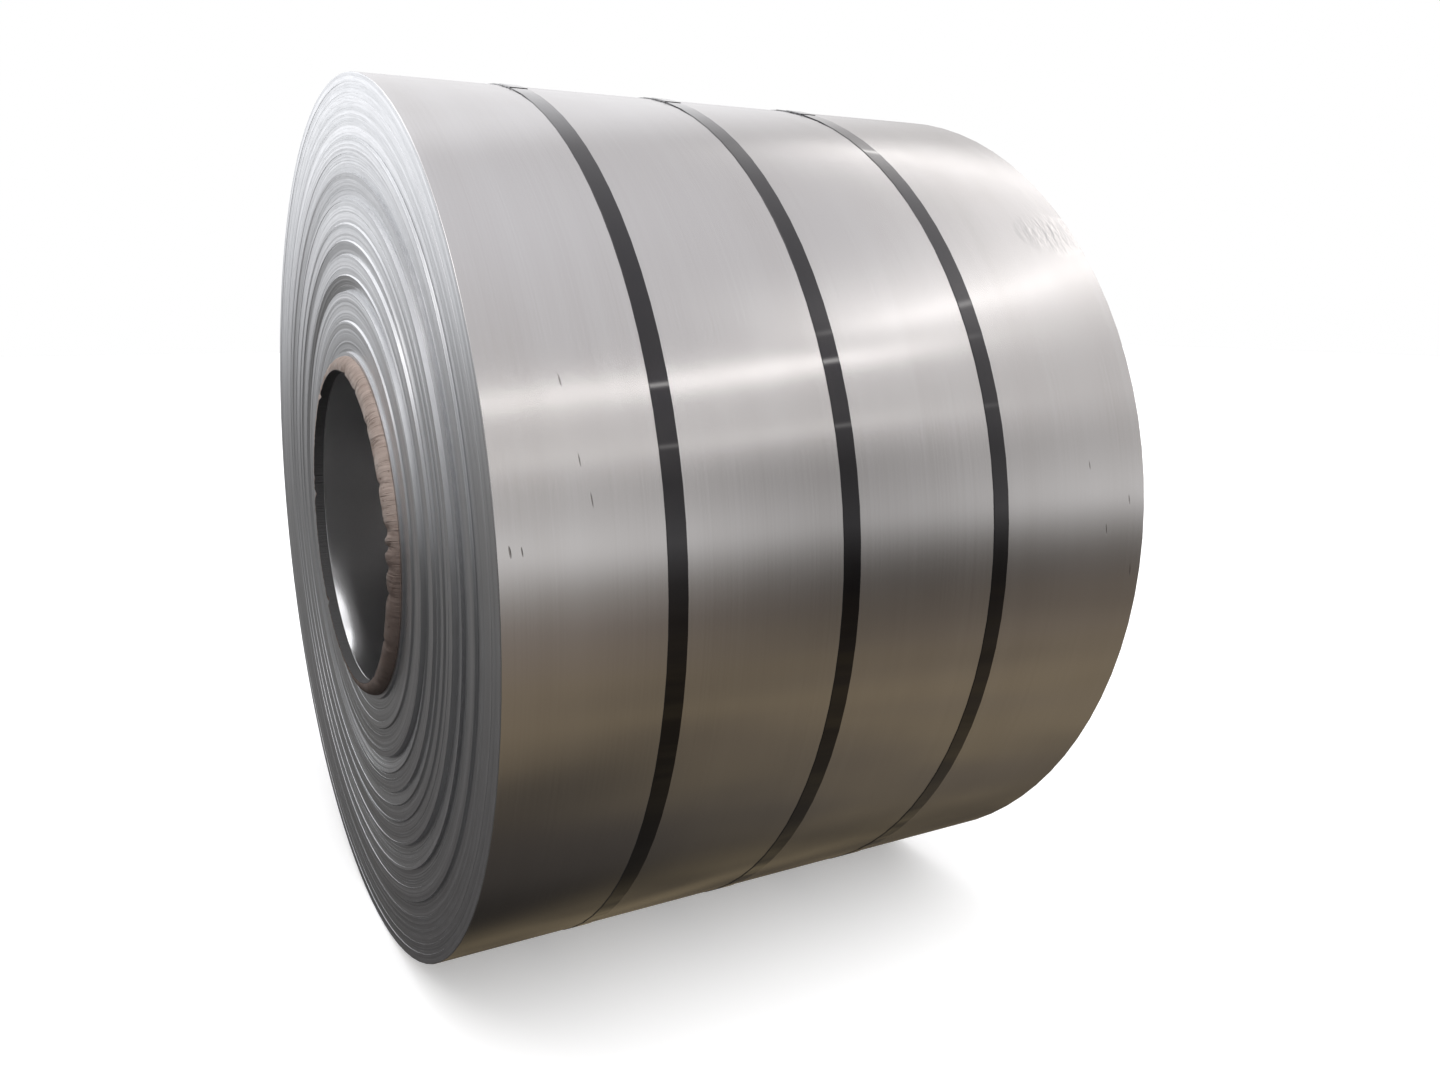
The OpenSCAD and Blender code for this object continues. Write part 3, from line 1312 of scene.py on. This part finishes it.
# %% Light the lamps
far = room.between(side, 44, 60, smooth=True)
seen = room.between(side, -30, 5, smooth=True) * room.between(side, 126, 134, 1.0, 0.0)
near_tube = up.bell(35, 0.45, 5.8) * (1.0 - far)
wide_lamp = (up.bell(41, 7.0, 0.62) + up.bell(40.5, 0.45, 2.6)) * far
low_tube = up.bell(21.5, 0.45, 1.7) * room.between(side, 38, 52, 1.0, 0.1)
end_lamp = up.bell(55, 8, 2.4) * side.bell(-85, 22, 1.0)
lamps = (near_tube + wide_lamp + low_tube) * seen + end_lamp
print("the lamps bring the room to", len(room.tree.nodes), "nodes")

# %% [markdown]
# The lamps are added to the room. Matte surfaces, such as the board, gather light from the whole
# room at once and would be too bright, so they see it dimmer. Seen directly, behind the coil,
# the room is plain white.

# %% Put the room together
light_path = room.add("ShaderNodeLightPath", {}, {})
matte = room.out(light_path, "Is Diffuse Ray")
seen_directly = room.out(light_path, "Is Camera Ray")
sky_glow = room.add("ShaderNodeBackground", {}, {"Color": sky, "Strength": 1.0 - matte * 0.55})
lamp_glow = room.add("ShaderNodeBackground", {}, {
    "Color": colour(1.0, 0.975, 0.95), "Strength": lamps})
lit_room = room.add("ShaderNodeAddShader", {}, {0: room.out(sky_glow), 1: room.out(lamp_glow)})
backdrop = room.add("ShaderNodeBackground", {}, {"Color": colour(1, 1, 1), "Strength": 1.0})
both = room.add("ShaderNodeMixShader", {}, {
    0: seen_directly, 1: room.out(lit_room), 2: room.out(backdrop)})
room.add("ShaderNodeOutputWorld", {}, {"Surface": room.out(both)})
print("the room has", len(room.tree.nodes), "nodes")

# %% [markdown]
# ## The film
# The standard view shows colours as they are worked out, with no curve over them, so that the
# white floor and backdrop stay white.

# %% Choose the view of colours
bpy.context.scene.view_settings.view_transform = "Standard"
bpy.context.scene.view_settings.look = "None"
print("colours are shown as", bpy.context.scene.view_settings.view_transform)

# %% [markdown]
# ## The sizes
# The looks mustn't change the object's size. So the box round the engineering model, kept from
# the start, is written down beside the box round the finished pieces, and the two can be
# compared.

# %% Write the sizes and finish
look_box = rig.bounds()
with open("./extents.json", "w") as sizes:
    json.dump({
        "cad_box": [[float(v) for v in corner] for corner in cad_box],
        "look_box": [[float(v) for v in corner] for corner in look_box]}, sizes)
print("the looks lie between", look_box[0][:], "and", look_box[1][:])
